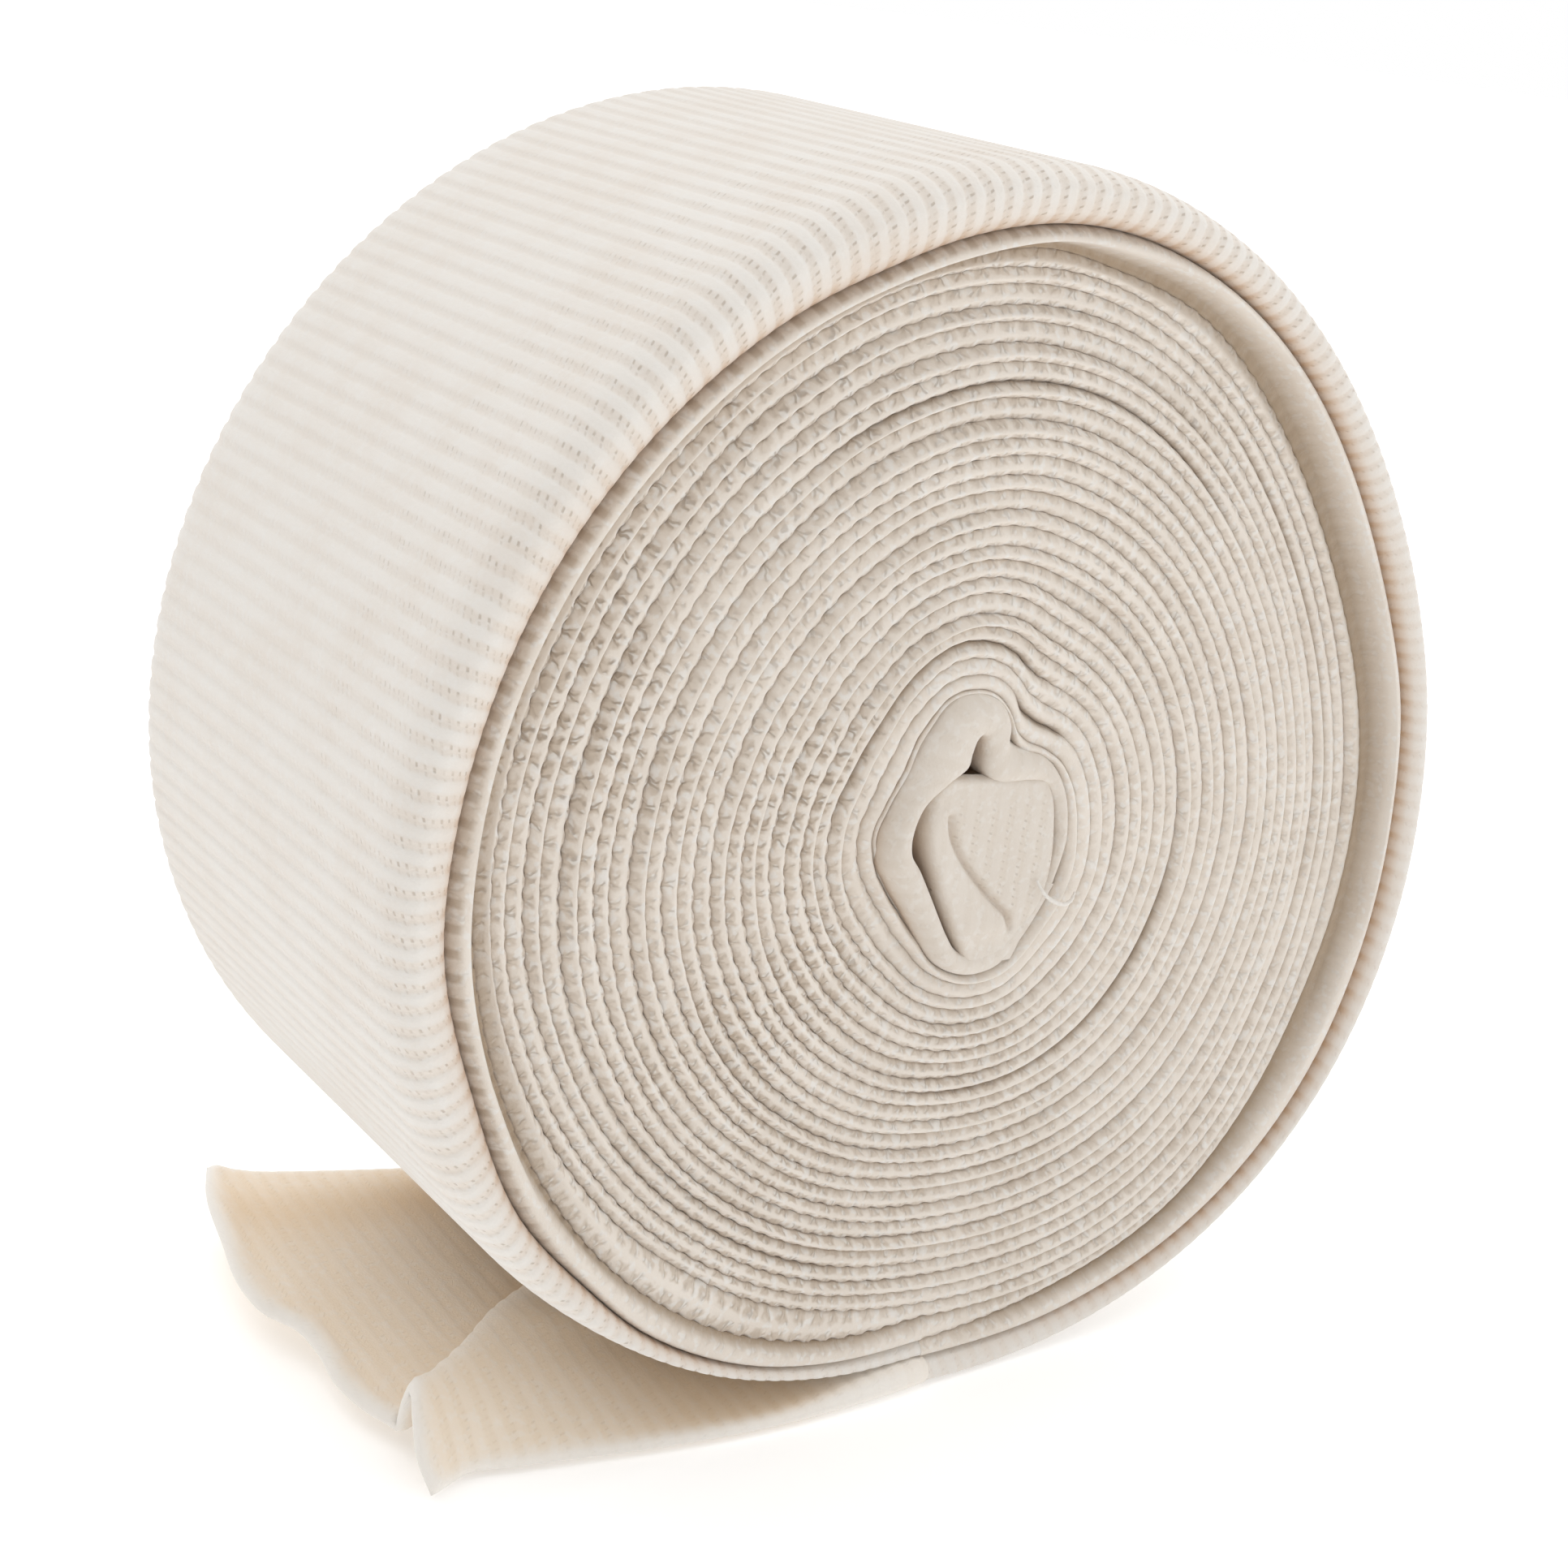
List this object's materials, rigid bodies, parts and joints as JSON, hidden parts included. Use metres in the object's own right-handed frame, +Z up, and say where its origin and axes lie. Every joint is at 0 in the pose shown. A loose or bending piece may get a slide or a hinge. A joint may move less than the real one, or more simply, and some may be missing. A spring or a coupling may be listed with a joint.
{
  "type": "tubular bandage roll",
  "caption": "Wide roll of ribbed knitted cotton tubular bandage, lying flattened and wound on its side with a short loose end.",
  "frame": {"origin": "middle of the flat spot that the roll rests on, at half its width", "axes": "+Z up; Y along the roll's axis, with the end that shows the core at -Y; the loose end leaves towards -X"},
  "size_m": [0.1768, 0.0829, 0.1721],
  "materials": {
    "wound_knit": "matte unbleached ribbed cotton knit",
    "loose_knit": "matte unbleached ribbed cotton knit, warmer in its folds"
  },
  "bodies": {
    "root": {"wound_roll": "wound_knit", "loose_end": "loose_knit"}
  },
  "joints": []
}
